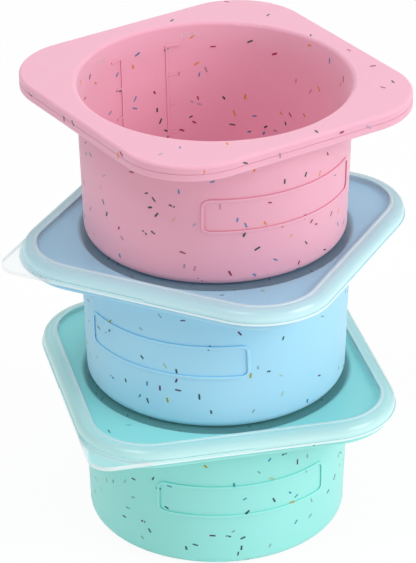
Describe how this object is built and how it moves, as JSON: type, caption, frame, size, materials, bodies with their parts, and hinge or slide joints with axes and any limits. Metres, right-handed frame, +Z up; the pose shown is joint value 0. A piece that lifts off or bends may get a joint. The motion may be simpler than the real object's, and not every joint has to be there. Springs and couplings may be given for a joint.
{
  "type": "dough proofing container",
  "caption": "Stack of round silicone dough tubs with flat rounded-square rims, and frosted lids between them.",
  "frame": {"origin": "centre of the bottom tub's flat base, on the surface that the stack stands on", "axes": "+Z up along the stack's axis; -Y out of the bottom tub's front, where its raised frame is; +X to the right as seen from the front"},
  "size_m": [0.1921, 0.1818, 0.2206],
  "materials": {
    "mint_silicone": "satin",
    "blue_silicone": "satin",
    "pink_silicone": "satin",
    "frosted_plastic": "satin"
  },
  "bodies": {
    "bottom_tub": {"bottom_tub": "mint_silicone"},
    "bottom_lid": {"bottom_lid": "frosted_plastic"},
    "middle_tub": {"middle_tub": "blue_silicone"},
    "middle_lid": {"middle_lid": "frosted_plastic"},
    "top_tub": {"top_tub": "pink_silicone"}
  },
  "joints": [
    {"name": "bottom_lid_lift", "type": "slide", "parent": "bottom_tub", "child": "bottom_lid", "axis": [0, 0, 1], "range_m": [0, 0.08]},
    {"name": "middle_tub_lift", "type": "slide", "parent": "bottom_lid", "child": "middle_tub", "axis": [0, 0, 1], "range_m": [0, 0.08]},
    {"name": "middle_lid_lift", "type": "slide", "parent": "middle_tub", "child": "middle_lid", "axis": [0, 0, 1], "range_m": [0, 0.08]},
    {"name": "top_tub_lift", "type": "slide", "parent": "middle_lid", "child": "top_tub", "axis": [0, 0, 1], "range_m": [0, 0.08]}
  ]
}
